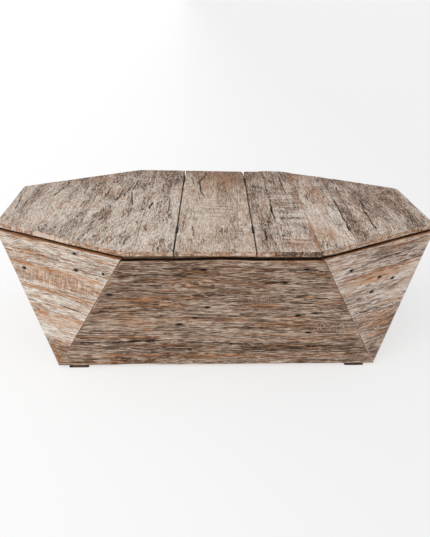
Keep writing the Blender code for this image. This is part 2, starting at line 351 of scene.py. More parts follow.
# Lines: the places that one runs through, its width, its strength or depth
TOP_SPLITS = [
    ([(-0.316, 0.020), (-0.309, 0.080), (-0.300, 0.145)], 0.0032, 0.0045),
    ([(-0.298, 0.070), (-0.281, 0.165)], 0.0028, 0.0040),
    ([(-0.262, -0.020), (-0.267, 0.060), (-0.269, 0.120)], 0.0026, 0.0040),
    ([(-0.207, -0.050), (-0.201, 0.016)], 0.0048, 0.0050),
    ([(-0.268, 0.130), (-0.264, 0.200), (-0.259, 0.262)], 0.0028, 0.0040),
    ([(-0.284, 0.120), (-0.276, 0.190)], 0.0024, 0.0035),
    ([(-0.354, 0.055), (-0.342, 0.170)], 0.0026, 0.0040),
    ([(-0.517, 0.070), (-0.498, 0.190)], 0.0028, 0.0040),
    ([(-0.424, 0.098), (-0.421, 0.196)], 0.0022, 0.0035),
    ([(-0.334, -0.105), (-0.322, -0.062)], 0.0030, 0.0040),
    ([(-0.348, -0.150), (-0.338, -0.118)], 0.0026, 0.0035),
    ([(-0.362, -0.128), (-0.352, -0.100)], 0.0026, 0.0035),
    ([(-0.366, -0.172), (-0.360, -0.150)], 0.0036, 0.0035),
    ([(-0.320, -0.330), (-0.296, -0.262)], 0.0018, 0.0030),
    ([(-0.308, -0.335), (-0.286, -0.270)], 0.0016, 0.0030),
    ([(-0.336, -0.322), (-0.316, -0.270)], 0.0016, 0.0030),
    ([(-0.345, -0.278), (-0.340, -0.262)], 0.0036, 0.0035),
    ([(-0.145, 0.070), (-0.147, -0.075)], 0.0022, 0.0035),
    ([(-0.170, 0.200), (-0.172, 0.110)], 0.0018, 0.0030),
    ([(-0.229, -0.066), (-0.226, -0.052)], 0.0050, 0.0040),
    ([(-0.209, -0.232), (-0.206, -0.214)], 0.0040, 0.0035),
    ([(-0.606, -0.070), (-0.612, 0.020), (-0.622, 0.100)], 0.0022, 0.0030),
    ([(-0.585, -0.060), (-0.590, 0.060)], 0.0018, 0.0030),
    ([(-0.015, 0.345), (-0.046, 0.235), (-0.046, 0.144), (-0.030, 0.050)], 0.0032, 0.0035),
    ([(-0.072, 0.300), (-0.066, 0.200)], 0.0022, 0.0030),
    ([(-0.076, -0.190), (-0.075, -0.275)], 0.0026, 0.0035),
    ([(0.186, 0.345), (0.183, 0.260)], 0.0020, 0.0030),
    ([(0.181, 0.230), (0.174, 0.090)], 0.0018, 0.0028),
    ([(0.171, 0.010), (0.168, -0.060), (0.166, -0.140)], 0.0042, 0.0060),
    ([(0.126, -0.225), (0.119, -0.305)], 0.0030, 0.0040),
    ([(0.143, -0.140), (0.140, -0.210)], 0.0022, 0.0035),
    ([(0.218, 0.330), (0.215, 0.200)], 0.0026, 0.0035),
    ([(0.242, 0.300), (0.236, 0.180), (0.238, 0.090)], 0.0024, 0.0035),
    ([(0.305, 0.110), (0.298, 0.036)], 0.0026, 0.0040),
    ([(0.382, 0.070), (0.375, -0.131), (0.366, -0.262)], 0.0036, 0.0050),
    ([(0.404, 0.090), (0.412, -0.020), (0.404, -0.120)], 0.0022, 0.0035),
    ([(0.455, -0.045), (0.450, -0.161), (0.449, -0.226)], 0.0038, 0.0050),
    ([(0.470, 0.060), (0.462, -0.040)], 0.0026, 0.0035),
    ([(0.420, 0.180), (0.415, 0.080)], 0.0026, 0.0035),
    ([(0.520, 0.010), (0.512, -0.080)], 0.0022, 0.0030),
]
TOP_STREAKS = [
    ([(0.279, 0.360), (0.264, 0.120), (0.266, -0.008), (0.264, -0.142), (0.247, -0.372)], 0.0050, 0.75),
    ([(0.262, -0.150), (0.254, -0.375)], 0.0130, 0.55),
    ([(0.322, 0.140), (0.318, -0.153), (0.303, -0.350)], 0.0070, 0.50),
    ([(0.182, -0.020), (0.166, -0.130)], 0.0050, 0.60),
    ([(0.346, 0.200), (0.340, -0.100)], 0.0100, 0.35),
    ([(-0.470, 0.290), (-0.480, 0.180)], 0.0080, 0.30),
    ([(-0.225, -0.180), (-0.236, -0.330)], 0.0060, 0.40),
    ([(-0.385, 0.200), (-0.384, 0.020)], 0.0050, 0.30),
    ([(-0.275, 0.060), (-0.272, -0.040)], 0.0080, 0.30),
    ([(-0.600, -0.176), (-0.500, -0.236), (-0.395, -0.298)], 0.0034, 0.80),
    ([(-0.300, -0.290), (-0.297, -0.370)], 0.0040, 0.55),
]
# Spots: middle, radius along x and along the other axis, strength
TOP_PATCHES = [
    ((0.045, 0.290), 0.080, 0.150, 1.00),
    ((0.010, 0.180), 0.065, 0.100, 0.55),
    ((0.200, -0.320), 0.065, 0.050, 0.60),
    ((0.330, 0.130), 0.040, 0.140, 0.50),
    ((0.310, 0.300), 0.060, 0.070, 0.50),
    ((0.290, -0.240), 0.040, 0.100, 0.50),
    ((-0.380, 0.260), 0.060, 0.060, 0.45),
    ((-0.340, 0.110), 0.040, 0.060, 0.40),
    ((-0.180, 0.330), 0.050, 0.050, 0.40),
    ((0.560, 0.060), 0.070, 0.120, 0.35),
]
TOP_DARK_SPOTS_AND_PAINTED_SHADE = [
    # The first spot is painted shade: the back of the top darker than its front, where the light falls off. The others
    # are darker patches of the wood.
    ((0.000, 0.520), 0.950, 0.500, 1.45),
    ((0.480, 0.060), 0.150, 0.200, 0.55),
    ((-0.300, 0.240), 0.130, 0.110, 0.45),
    ((-0.560, 0.130), 0.060, 0.120, 0.40),
    ((0.205, 0.300), 0.050, 0.110, 0.50),
    ((-0.340, -0.100), 0.030, 0.060, 1.00),
    ((-0.362, -0.190), 0.026, 0.060, 0.90),
    ((-0.305, -0.300), 0.030, 0.050, 0.50),
    ((0.392, -0.110), 0.018, 0.200, 0.50),
    ((0.140, -0.080), 0.030, 0.260, 0.35),
    ((0.600, -0.020), 0.050, 0.180, 0.30),
]
TOP_SAWN = [
    ((0.225, -0.040), 0.070, 0.230, 0.80),
    ((0.205, -0.310), 0.070, 0.050, 1.00),
    ((0.010, -0.060), 0.100, 0.140, 0.60),
    ((0.050, -0.280), 0.060, 0.080, 0.45),
    ((0.205, 0.250), 0.050, 0.090, 0.50),
]
# Knots: middle, radius. The grain runs round them.
TOP_KNOTS = [((0.452, -0.232), 0.016), ((0.430, 0.120), 0.030), ((-0.372, -0.090), 0.020), ((-0.300, 0.015), 0.018),
             ((0.030, 0.330), 0.014), ((-0.480, 0.150), 0.016)]
# Slants: middle, radius along x and along y, how far the grain leans to +X for each metre towards the back
TOP_SLANTS = [((-0.340, -0.180), 0.110, 0.180, 0.20), ((-0.330, 0.120), 0.160, 0.200, 0.07),
              ((-0.540, 0.060), 0.120, 0.200, 0.07), ((0.480, 0.020), 0.140, 0.220, -0.12)]
# Fresh wood along the edge of the left lid
TOP_RAW = [
    ([(-0.590, -0.200), (-0.540, -0.230)], 0.0050, 0.70),
    ([(-0.524, -0.238), (-0.400, -0.311)], 0.0094, 1.00),
]
TOP_WORM = [([(0.134, -0.381), (0.262, -0.381)], 0.0080, 1.00)]  # a stretch of the front edge eaten by woodworm

FRONT_SPLITS = [
    ([(-0.425, 0.097), (-0.307, 0.096), (-0.230, 0.102), (-0.150, 0.103)], 0.0048, 0.0050),
    ([(-0.110, 0.096), (0.089, 0.088), (0.190, 0.092)], 0.0028, 0.0035),
    ([(0.210, 0.078), (0.330, 0.080)], 0.0026, 0.0035),
    ([(-0.250, 0.332), (-0.190, 0.336), (-0.090, 0.331)], 0.0026, 0.0030),
    ([(0.090, 0.349), (0.200, 0.350), (0.252, 0.349)], 0.0020, 0.0030),
    ([(0.112, 0.308), (0.176, 0.309)], 0.0044, 0.0035),
    ([(-0.200, 0.300), (-0.130, 0.297)], 0.0022, 0.0030),
    ([(0.250, 0.256), (0.300, 0.252)], 0.0036, 0.0035),
    ([(0.185, 0.240), (0.260, 0.236)], 0.0024, 0.0030),
    ([(-0.330, 0.223), (-0.230, 0.225)], 0.0020, 0.0030),
    ([(0.205, 0.193), (0.240, 0.196)], 0.0036, 0.0035),
    ([(0.252, 0.202), (0.290, 0.204)], 0.0032, 0.0035),
    ([(-0.380, 0.130), (-0.250, 0.133)], 0.0020, 0.0030),
    ([(0.000, 0.152), (0.150, 0.150)], 0.0022, 0.0030),
    ([(-0.400, 0.030), (-0.300, 0.034), (-0.220, 0.031)], 0.0024, 0.0030),
    ([(0.060, 0.066), (0.240, 0.060)], 0.0022, 0.0030),
    ([(-0.080, 0.268), (0.020, 0.267)], 0.0018, 0.0025),
    ([(-0.310, 0.345), (-0.260, 0.343)], 0.0024, 0.0030),
]
FRONT_STREAKS = [
    ([(-0.441, 0.051), (-0.200, 0.048), (0.100, 0.046), (0.435, 0.043)], 0.0055, 1.00),
    ([(-0.330, 0.120), (-0.100, 0.116), (-0.010, 0.114)], 0.0040, 0.60),
    ([(0.000, 0.124), (0.210, 0.120)], 0.0040, 0.55),
    ([(-0.280, 0.254), (-0.190, 0.250)], 0.0080, 0.50),
    ([(-0.110, 0.257), (-0.060, 0.256)], 0.0060, 0.60),
    ([(-0.200, 0.282), (-0.060, 0.276)], 0.0030, 0.50),
    ([(0.215, 0.263), (0.262, 0.258)], 0.0050, 0.90),
    ([(0.090, 0.232), (0.160, 0.230)], 0.0070, 0.45),
    ([(-0.160, 0.345), (0.100, 0.348)], 0.0040, 0.40),
    ([(0.120, 0.176), (0.240, 0.170)], 0.0060, 0.35),
]
FRONT_PATCHES = [
    ((-0.220, 0.250), 0.100, 0.020, 0.60),
    ((-0.140, 0.232), 0.070, 0.016, 0.60),
    ((0.110, 0.232), 0.070, 0.012, 0.60),
    ((-0.060, 0.315), 0.160, 0.020, 0.40),
    ((-0.250, 0.170), 0.120, 0.020, 0.40),
    ((0.200, 0.160), 0.120, 0.020, 0.45),
]
FRONT_SHADES = [
    ((-0.180, 0.082), 0.300, 0.014, 0.60),
    ((0.200, 0.076), 0.260, 0.014, 0.70),
    ((-0.050, 0.352), 0.280, 0.014, 0.60),
    ((0.260, 0.350), 0.060, 0.030, 0.40),
    ((0.050, 0.236), 0.060, 0.020, 0.40),
    ((0.000, 0.018), 0.450, 0.010, 0.45),
    ((-0.280, 0.330), 0.060, 0.030, 0.40),
]
FRONT_SAWN = [
    ((0.095, 0.240), 0.070, 0.030, 0.75),
    ((0.310, 0.150), 0.080, 0.036, 0.75),
    ((-0.100, 0.170), 0.060, 0.020, 0.40),
]
FRONT_KNOTS = [((0.238, 0.258), 0.010), ((-0.055, 0.305), 0.022), ((-0.160, 0.240), 0.014), ((0.330, 0.190), 0.016)]
FRONT_NAILS = [
    (-0.051, 0.351), (0.222, 0.351), (-0.300, 0.269), (0.217, 0.194), (0.263, 0.202), (-0.071, 0.187),
    (-0.114, 0.164), (0.253, 0.130), (-0.038, 0.224), (-0.312, 0.336), (0.168, 0.309),
]

LEFT_NAILS = [(-0.394, 0.369), (-0.392, 0.322), (-0.553, 0.289)]
LEFT_SHADES = [((-0.450, 0.035), 0.120, 0.080, 3.20), ((-0.330, 0.350), 0.045, 0.026, 0.90)]
LEFT_STREAKS = [
    ([(-0.610, 0.305), (-0.450, 0.305), (-0.302, 0.302)], 0.0100, 1.00),
    ([(-0.580, 0.240), (-0.450, 0.240), (-0.325, 0.239)], 0.0075, 1.00),
    ([(-0.540, 0.168), (-0.370, 0.167)], 0.0120, 1.00),
]
LEFT_PATCHES = [((-0.460, 0.150), 0.100, 0.022, 0.60), ((-0.470, 0.278), 0.180, 0.034, 0.50)]
LEFT_SAWN = [((-0.460, 0.278), 0.190, 0.034, 1.00), ((-0.500, 0.345), 0.060, 0.020, 0.40)]
LEFT_SPLITS = [([(-0.450, 0.205), (-0.385, 0.200)], 0.0026, 0.0030), ([(-0.520, 0.340), (-0.440, 0.338)], 0.0018, 0.0025)]

RIGHT_NAILS = [(0.354, 0.330), (0.453, 0.286), (0.501, 0.271), (0.431, 0.247)]
RIGHT_SHADES = [((0.450, 0.050), 0.080, 0.040, 0.80), ((0.500, 0.362), 0.120, 0.018, 0.70)]
RIGHT_STREAKS = [
    ([(0.316, 0.304), (0.450, 0.306), (0.590, 0.306)], 0.0090, 0.85),
    ([(0.330, 0.292), (0.440, 0.290)], 0.0080, 0.60),
    ([(0.375, 0.176), (0.430, 0.180), (0.530, 0.178)], 0.0050, 0.85),
    ([(0.430, 0.108), (0.500, 0.104)], 0.0060, 0.70),
]
RIGHT_PATCHES = [((0.450, 0.290), 0.140, 0.016, 0.80), ((0.460, 0.150), 0.080, 0.030, 0.80)]
RIGHT_SPLITS = [([(0.390, 0.194), (0.470, 0.188)], 0.0028, 0.0035), ([(0.440, 0.340), (0.560, 0.346)], 0.0022, 0.0030)]

MARKS = {
    "top": {"split": TOP_SPLITS, "streak": TOP_STREAKS, "patch": TOP_PATCHES, "shade": TOP_DARK_SPOTS_AND_PAINTED_SHADE, "saw": TOP_SAWN,
            "raw": TOP_RAW, "worm": TOP_WORM, "knots": TOP_KNOTS, "slants": TOP_SLANTS},
    "front": {"split": FRONT_SPLITS, "streak": FRONT_STREAKS, "patch": FRONT_PATCHES, "shade": FRONT_SHADES,
              "saw": FRONT_SAWN, "knots": FRONT_KNOTS, "nails": FRONT_NAILS},
    "left_front_corner": {"split": LEFT_SPLITS, "streak": LEFT_STREAKS, "patch": LEFT_PATCHES, "shade": LEFT_SHADES,
                          "saw": LEFT_SAWN, "nails": LEFT_NAILS},
    "right_front_corner": {"split": RIGHT_SPLITS, "streak": RIGHT_STREAKS, "patch": RIGHT_PATCHES,
                           "shade": RIGHT_SHADES, "nails": RIGHT_NAILS},
}
# How much lighter (+) or darker (-) a board is than the others of its wood
TONES = {
    "right_lid_board_1": -0.5, "right_lid_board_2": 0.6, "right_lid_board_3": 1.3, "right_lid_board_4": -1.4,
    "left_lid_board_1": 1.2, "left_lid_board_2": 1.1, "left_lid_board_3": 0.9, "middle_plank": 1.0,
    "front_board_1": -0.5, "front_board_2": 0.1, "front_board_3": 0.4, "front_board_4": -0.2,
    "left_front_corner_board_1": 0.6, "left_front_corner_board_2": 1.3, "left_front_corner_board_3": 1.5,
    "left_front_corner_board_4": 2.4, "right_front_corner_board_1": 0.2, "right_front_corner_board_2": 2.2,
    "right_front_corner_board_3": 2.2, "right_front_corner_board_4": -2.0,
}


def distance_to_line(places, line, seed, amount):
    """Distance of each place to a line through given places that wanders with the grain, and its share along it."""
    line = np.array(line)
    lengths = np.linalg.norm(np.diff(line, axis=0), axis=1)
    starts = np.concatenate([[0.0], np.cumsum(lengths)])
    found = np.full(len(places), np.inf)
    shares_along = np.zeros(len(places))
    for number, length in enumerate(lengths):
        along = (line[number + 1] - line[number]) / length
        reach = (places - line[number]) @ along
        first, last = number == 0, number == len(lengths) - 1
        held = np.clip(reach, -np.inf if first else 0.0, np.inf if last else length)
        share = (starts[number] + held) / starts[-1]
        sideways = (places - line[number]) @ np.array([-along[1], along[0]])
        sideways = sideways + fractal(np.stack([share * 5.0, share * 0 + seed * 1.7, share * 0], axis=1), seed) * amount
        off = np.hypot(sideways, reach - held)
        nearer = off < found
        found = np.where(nearer, off, found)
        shares_along = np.where(nearer, share, shares_along)
    return found, shares_along


def line_marks(places, lines, amount, soft):
    """How far inside a line each place is, from 0 to the line's last value."""
    found = np.zeros(len(places))
    for seed, (line, width, strength) in enumerate(lines, start=40):
        off, share = distance_to_line(places, line, seed, amount)
        taper = smooth_step(-0.02, 0.15, share) * (1.0 - smooth_step(0.85, 1.02, share))
        ragged = fractal(np.stack([share * 22.0, share * 0 + seed, share * 0], axis=1), seed + 7)
        half = np.maximum(width * taper * (0.8 + 0.6 * ragged), 1e-5)
        found = np.maximum(found, strength * (taper > 0.02) * (1.0 - smooth_step(soft, 1.0, off / half)))
    return found


def spot_marks(places, spots):
    found = np.zeros(len(places))
    for middle, along_x, along_other, strength in spots:
        reach = np.linalg.norm((places - np.array(middle)) / (along_x, along_other), axis=1)
        found = np.maximum(found, strength * (1.0 - smooth_step(0.2, 1.2, reach)))
    return found


def nail_marks(places, nails, split_length):
    """Each nail sits in a hole that has split a little along the grain."""
    found = np.zeros(len(places))
    for nail in nails:
        reach = np.linalg.norm((places - np.array(nail)) / (split_length, NAIL_RADIUS * 1.50), axis=1)
        found = np.maximum(found, 1.0 - smooth_step(0.65, 1.05, reach))
    return found


def grain_lines(board, local, places, marks):
    """The board's own coordinates with the grain bent round knots and leaning where it slants."""
    lines = local.copy()
    flow = local * (3.0, 9.0, 9.0)
    lines[:, 1] += fractal(flow, 61, 2) * 0.006
    for middle, radius in marks.get("knots", []):
        offset = places - np.array(middle)
        along = offset @ board.grain_on_face
        across = offset @ board.across_on_face
        reach = np.hypot(along / 2.6, across) / radius
        lines[:, 1] -= across * 0.75 * np.exp(-reach**2)
    for middle, along_x, along_y, slope in marks.get("slants", []):
        offset = places - np.array(middle)
        fade = np.exp(-((offset[:, 0] / along_x) ** 2) - (offset[:, 1] / along_y) ** 2)
        lines[:, 1] += slope * offset[:, 1] * fade * board.across_on_face[0] * -1.0
    return lines


# Finished boards

WEAR = {"top": 0.0024, "wall": 0.0018}
WANDER = {"top": 0.0038, "wall": 0.0014}  # how far splits and streaks leave their lines
JOINT_SHARPNESS = 0.30
NAIL_RADIUS = 0.0034
NAIL_SPLIT = 0.0125
COARSE = (0.012, 0.0032)  # sample steps along and across the grain on boards that face away
FINE = (0.006, 0.0020)
BACK_EDGE_BULGE = (0.192, 0.272)  # where the back edge of the right lid stands proud


def add_value(mesh, name, values):
    attribute = mesh.attributes.new(name, "FLOAT", "POINT")
    attribute.data.foreach_set("value", np.asarray(values, np.float32))


def add_vector(mesh, name, values):
    attribute = mesh.attributes.new(name, "FLOAT_VECTOR", "POINT")
    attribute.data.foreach_set("vector", np.asarray(values, np.float32).ravel())


def outline_waver(world):
    """How far the outline of the top is worn back."""
    inward = 0.0026 + 0.0026 * fractal(world * (7.0, 7.0, 0.0), 71, 3)
    x, y = world[:, 0], world[:, 1]
    low, high = BACK_EDGE_BULGE
    proud = smooth_step(low - 0.03, low, x) * (1.0 - smooth_step(high, high + 0.03, x))
    at_back = smooth_step(0.30, 0.37, y) * smooth_step(-0.25, 0.16, x)
    return inward + at_back * 0.0080 * (1.0 - proud)


GAP_SCALE = 0.020


def gap_depth(board, local):
    """On the top of a wall, under the lids: the depth from its outer face, as a share of a scale."""
    found = np.zeros(len(local))
    if board.node in TOP_NODES or not board.node.endswith("_board_1"):
        return found
    for side in board.sides:
        if side.outline and side.normal[1] > 0.5:
            on_side = np.abs(side.inside(local)) < ON_PLANE
            found = np.maximum(found, on_side * np.clip(local[:, 2] / GAP_SCALE, 0.0, 1.0))
    return found


def build_board(node, outward, grain, kind, body, material, steps, seed):
    """A worn copy of a CAD board, with what its material reads stored on its points."""
    face = "top" if kind == "top" else node.split("_board_")[0]
    marks = MARKS.get(face, {})
    board = Board(node, outward, grain)
    axes_on_face = [0, 1] if kind == "top" else [0, 2]
    board.grain_on_face = board.u[axes_on_face]
    board.across_on_face = board.v[axes_on_face]
    local, faces = shell(board, *steps)
    world = board.to_world(local)
    places = world[:, axes_on_face]
    own = grain_lines(board, local, places, marks) + np.array([seed * 1.37, seed * 0.71, seed * 0.29])

    # What lies on a side, and on the outer part of the board
    edge = board.edge_distance(local, outline_only=True)
    on_top = local[:, 2] < board.thickness * 0.5
    fade = 1.0 - local[:, 2] / board.thickness
    above_inner = local[:, 2] < board.thickness - 0.0005
    raw = line_marks(places, marks.get("raw", []), 0.0015, 0.75) * above_inner
    worm = line_marks(places, marks.get("worm", []), 0.001, 0.75) * above_inner

    # Wear of the arrises and corners
    worn = local.copy()
    ragged = fractal(own * 22.0, seed + 1, 3)
    chip = smooth_step(0.30, 0.75, fractal(own * 11.0, seed + 5, 2))
    radius = np.clip(WEAR[kind] * (1.0 + 0.7 * ragged) + chip * 0.0050 + raw * 0.0040, 0.0006, board.thickness * 0.45)
    round_arrises(board, worn, radius)
    if kind == "top":
        round_corners(board, worn, 0.003 + 0.017 * smooth_step(0.0, 0.08, world[:, 0]))
        waver_outline(board, worn, outline_waver(world))
    elif node.endswith("_board_1"):
        uneven = 0.0006 if "corner" in node else 0.0022
        waver_outline(board, worn, uneven * (1.0 + 1.4 * fractal(world * (6.0, 6.0, 0.0), 73, 3)), rims_only=True)

    # Grooves, splits and nail holes in the outer face
    ridges = 0.5 + 0.5 * fractal(own * (7.0, 150.0, 60.0), seed + 11, 3)
    swell = 0.5 + 0.5 * fractal(own * (3.0, 9.0, 3.0), seed + 17, 2)
    wander = WANDER[kind]
    split_depth = line_marks(places, marks.get("split", []), wander, 0.35)
    holes = nail_marks(places, marks.get("nails", []), 0.0090 if "corner" in node else NAIL_SPLIT)
    relief = 0.0006 * ridges + 0.0006 * swell
    relief += np.maximum(split_depth, holes * 0.0020)
    worn[:, 2] += relief * fade
    sunk = sink_recesses(board, worn)
    pits = fractal(own * (110.0, 110.0, 190.0), seed + 23, 2)
    for side in board.sides:
        on_side = (np.abs(side.inside(local)) < ON_PLANE) & above_inner
        depth = 0.0014 * (1.0 + worm) if abs(side.normal[0]) > 0.35 else 0.0004
        worn -= (depth * (0.5 + 0.5 * pits) * on_side * ~sunk)[:, None] * side.normal

    mesh = bpy.data.meshes.new(node + "_worn")
    mesh.from_pydata(board.to_world(worn).tolist(), [], faces)
    shape = bmesh.new()
    shape.from_mesh(mesh)
    bmesh.ops.recalc_face_normals(shape, faces=shape.faces)
    shape.to_mesh(mesh)
    shape.free()

    rubbed = 1.0 - smooth_step(0.0, 0.0065, edge)
    on_outline = (edge < ON_PLANE) & (local[:, 2] > 0.0005)
    add_vector(mesh, "grain", own)
    add_value(mesh, "edge", rubbed * (1.0 - smooth_step(0.0, 0.005, local[:, 2])))
    add_value(mesh, "side", on_outline)
    add_value(mesh, "raw", raw)
    add_value(mesh, "worm", worm * (local[:, 2] > 0.001))
    add_value(mesh, "split", np.maximum(np.maximum(smooth_step(0.0, 0.0030, split_depth), holes) * on_top, sunk))
    add_value(mesh, "streak", line_marks(places, marks.get("streak", []), wander, 0.1) * on_top)
    add_value(mesh, "patch", spot_marks(places, marks.get("patch", [])) * on_top)
    # shade: darker patches of the wood, and on the top also painted shade towards its back
    add_value(mesh, "shade", spot_marks(places, marks.get("shade", [])) * on_top)
    add_value(mesh, "saw", spot_marks(places, marks.get("saw", [])) * on_top)
    add_value(mesh, "tone", np.full(len(local), TONES.get(node, lattice(np.array([[seed, 3, 7]]), 5)[0] * 0.6)))
    add_value(mesh, "gap", gap_depth(board, local))
    mesh.shade_smooth()
    mesh.set_sharp_from_angle(angle=math.radians(50))
    piece = bpy.data.objects.new(node + "_worn", mesh)
    bpy.context.scene.collection.objects.link(piece)
    mesh.materials.append(material)
    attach(piece, body)
    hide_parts(node)
    return board


# Materials


def linear(red, green, blue):
    """A scene-linear colour from one given as 0 to 255 on a screen."""
    scale = [channel / 255.0 for channel in (red, green, blue)]
    return tuple(c / 12.92 if c < 0.04045 else ((c + 0.055) / 1.055) ** 2.4 for c in scale) + (1.0,)


class Shader:
    """A material's node tree, built step by step around its Principled BSDF."""

    def __init__(self, name):
        self.material = bpy.data.materials.new(name)
        self.material.use_nodes = True
        self.tree = self.material.node_tree
        self.surface = self.tree.nodes["Principled BSDF"]

    def feed(self, socket, value):
        if isinstance(value, bpy.types.NodeSocket):
            self.tree.links.new(value, socket)
        else:
            socket.default_value = value

    def add(self, kind, inputs, **settings):
        node = self.tree.nodes.new(kind)
        for key, value in settings.items():
            setattr(node, key, value)
        for key, value in inputs.items():
            self.feed(node.inputs[key], value)
        return node

    def value(self, name):
        return self.add("ShaderNodeAttribute", {}, attribute_name=name).outputs["Fac"]

    def vector(self, name):
        return self.add("ShaderNodeAttribute", {}, attribute_name=name).outputs["Vector"]

    def math(self, operation, a, b=0.0):
        return self.add("ShaderNodeMath", {0: a, 1: b}, operation=operation).outputs[0]

    def blend(self, *parts):
        """A sum of values, each less its middle and times its weight: parts are (value, middle, weight)."""
        total = 0.5
        for value, middle, weight in parts:
            total = self.math("ADD", self.math("MULTIPLY", self.math("SUBTRACT", value, middle), weight), total)
        return total

    def noise(self, vector, scale, detail=3.0, rough=0.5, shift=0.0):
        inputs = {0: vector, 1: scale, 2: (shift, shift, shift)}
        placed = self.add("ShaderNodeVectorMath", inputs, operation="MULTIPLY_ADD").outputs[0]
        inputs = {"Vector": placed, "Scale": 1.0, "Detail": detail, "Roughness": rough}
        return self.add("ShaderNodeTexNoise", inputs).outputs["Fac"]

    def ridge(self, noise_value, wide, narrow):
        """1 along the thin winding lines where a noise passes through its middle."""
        return self.step(self.math("ABSOLUTE", self.math("SUBTRACT", noise_value, 0.5)), wide, narrow)

    def step(self, value, low, high, top=1.0):
        inputs = {"Value": value, "From Min": low, "From Max": high, "To Min": 0.0, "To Max": top}
        return self.add("ShaderNodeMapRange", inputs, interpolation_type="SMOOTHSTEP").outputs[0]

    def mix(self, factor, a, b, blend="MIX"):
        node = self.add("ShaderNodeMix", {}, data_type="RGBA", blend_type=blend)
        for socket, value in ((node.inputs[0], factor), (node.inputs[6], a), (node.inputs[7], b)):
            self.feed(socket, value)
        return node.outputs[2]

    def ramp(self, value, stops):
        node = self.add("ShaderNodeValToRGB", {"Fac": value})
        elements = node.color_ramp.elements
        while len(elements) < len(stops):
            elements.new(0.5)
        for element, (position, colour) in zip(elements, stops):
            element.position = position
            element.color = colour
        return node.outputs[0]

    def bump(self, height, distance, strength=1.0):
        inputs = {"Height": height, "Distance": distance, "Strength": strength}
        return self.add("ShaderNodeBump", inputs).outputs[0]


SAP = linear(200, 130, 68)
RAW_WOOD = linear(246, 224, 206)
SPLIT_DARK = linear(34, 25, 20)
GAP_RUST = linear(164, 98, 50)
# Painted shade: the near-black of the walls' tops under the lids
GAP_PAINTED_SHADE = linear(22, 15, 11)


def rippled(shader, grain, ripples):
    """The grain's coordinates with its lines made slightly wavy."""
    wave = shader.noise(grain, (9.0, 26.0, 26.0), 2.0)
    ripple = shader.noise(grain, (34.0, 80.0, 80.0), 2.0, 0.5, 5.0)
    drift = shader.blend((wave, 0.5, 0.015), (ripple, 0.5, ripples))
    offset = shader.add("ShaderNodeCombineXYZ", {"X": 0.0, "Y": drift, "Z": drift}).outputs[0]
    return shader.add("ShaderNodeVectorMath", {0: grain, 1: offset}, operation="ADD").outputs[0]


